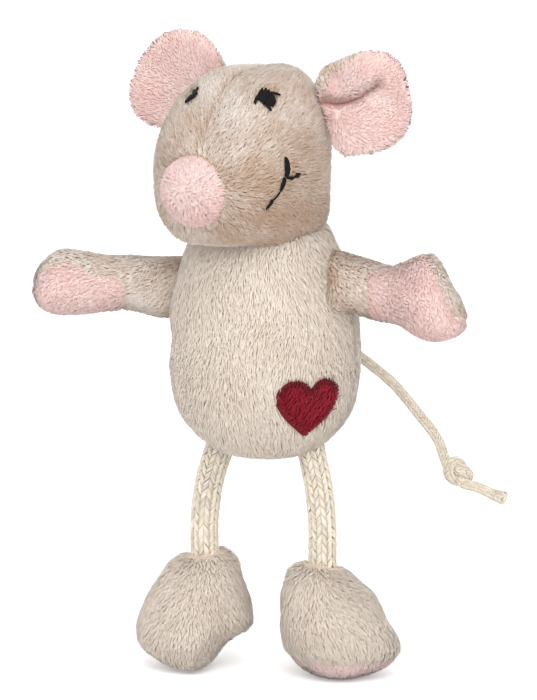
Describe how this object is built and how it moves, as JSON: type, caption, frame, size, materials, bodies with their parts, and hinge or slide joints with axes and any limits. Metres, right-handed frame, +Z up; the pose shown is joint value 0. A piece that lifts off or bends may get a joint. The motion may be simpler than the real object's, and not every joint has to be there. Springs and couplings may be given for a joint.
{
  "type": "plush mouse cat toy",
  "caption": "Small stuffed mouse toy for a cat, with round ears, short arms, braided cord legs, padded feet, a stitched heart and a knotted cord tail.",
  "frame": {"origin": "on the floor under the middle of the toy's box, measured without the tail", "axes": "+Z up from the soles to the head; the belly looks along -Y; the toy's left arm and the heart are on +X"},
  "size_m": [0.1184, 0.0691, 0.1648],
  "materials": {
    "cream_plush": "matte",
    "beige_plush": "matte",
    "pink_plush": "matte",
    "wadding": "matte",
    "cotton_cord": "matte",
    "crimson_thread": "satin",
    "black_thread": "satin"
  },
  "bodies": {
    "torso": {"body_front_panel": "cream_plush", "body_back_left_panel": "cream_plush", "body_back_right_panel": "cream_plush", "body_stuffing": "wadding", "heart_patch": "crimson_thread"},
    "head": {"nose_tip": "pink_plush", "head_left_panel": "beige_plush", "head_right_panel": "beige_plush", "head_stuffing": "wadding", "left_eye": "black_thread", "right_eye": "black_thread", "left_mouth": "black_thread", "right_mouth": "black_thread"},
    "left_ear": {"left_ear_back": "beige_plush", "left_ear_lining": "pink_plush"},
    "right_ear": {"right_ear_back": "beige_plush", "right_ear_lining": "pink_plush"},
    "left_arm": {"left_arm_cover": "beige_plush", "left_palm": "pink_plush", "left_arm_stuffing": "wadding"},
    "right_arm": {"right_arm_cover": "beige_plush", "right_palm": "pink_plush", "right_arm_stuffing": "wadding"},
    "left_leg": {"left_leg_cord": "cotton_cord"},
    "right_leg": {"right_leg_cord": "cotton_cord"},
    "left_foot": {"left_foot_upper": "cream_plush", "left_sole": "pink_plush", "left_foot_stuffing": "wadding"},
    "right_foot": {"right_foot_upper": "cream_plush", "right_sole": "pink_plush", "right_foot_stuffing": "wadding"},
    "tail": {"tail_cord": "cotton_cord"}
  },
  "joints": [
    {"name": "head_turn", "type": "hinge", "parent": "torso", "child": "head", "pos_m": [0.00036, 0.00664, 0.1145], "axis": [0, 0, 1], "range_deg": [-25, 25], "stiffness_Nm_per_rad": 0.02},
    {"name": "left_ear_fold", "type": "hinge", "parent": "head", "child": "left_ear", "pos_m": [0.01936, 0.00362, 0.1475], "axis": [-0.4065, -0.0142, 0.9135], "range_deg": [-35, 25], "stiffness_Nm_per_rad": 0.001},
    {"name": "right_ear_fold", "type": "hinge", "parent": "head", "child": "right_ear", "pos_m": [-0.01678, 0.01537, 0.1475], "axis": [0.4028, -0.0566, 0.9135], "range_deg": [-25, 35], "stiffness_Nm_per_rad": 0.001},
    {"name": "left_arm_swing", "type": "hinge", "parent": "torso", "child": "left_arm", "pos_m": [0.02696, 0.00664, 0.1022], "axis": [0, 1, 0], "range_deg": [-35, 30], "stiffness_Nm_per_rad": 0.01},
    {"name": "right_arm_swing", "type": "hinge", "parent": "torso", "child": "right_arm", "pos_m": [-0.02624, 0.00664, 0.0998], "axis": [0, 1, 0], "range_deg": [-30, 35], "stiffness_Nm_per_rad": 0.01},
    {"name": "left_hip_bend", "type": "hinge", "parent": "torso", "child": "left_leg", "pos_m": [0.01286, 0.00664, 0.0574], "axis": [1, 0, 0], "range_deg": [-30, 30], "stiffness_Nm_per_rad": 0.025},
    {"name": "right_hip_bend", "type": "hinge", "parent": "torso", "child": "right_leg", "pos_m": [-0.01214, 0.00664, 0.0574], "axis": [1, 0, 0], "range_deg": [-30, 30], "stiffness_Nm_per_rad": 0.025},
    {"name": "left_ankle_bend", "type": "hinge", "parent": "left_leg", "child": "left_foot", "pos_m": [0.01576, 0.00664, 0.0298], "axis": [1, 0, 0], "range_deg": [-25, 25], "stiffness_Nm_per_rad": 0.025},
    {"name": "right_ankle_bend", "type": "hinge", "parent": "right_leg", "child": "right_foot", "pos_m": [-0.01624, 0.00664, 0.0298], "axis": [1, 0, 0], "range_deg": [-25, 25], "stiffness_Nm_per_rad": 0.025},
    {"name": "tail_swing", "type": "hinge", "parent": "torso", "child": "tail", "pos_m": [0.00036, 0.02914, 0.083], "axis": [0, 0, 1], "range_deg": [-25, 25], "stiffness_Nm_per_rad": 0.001}
  ]
}
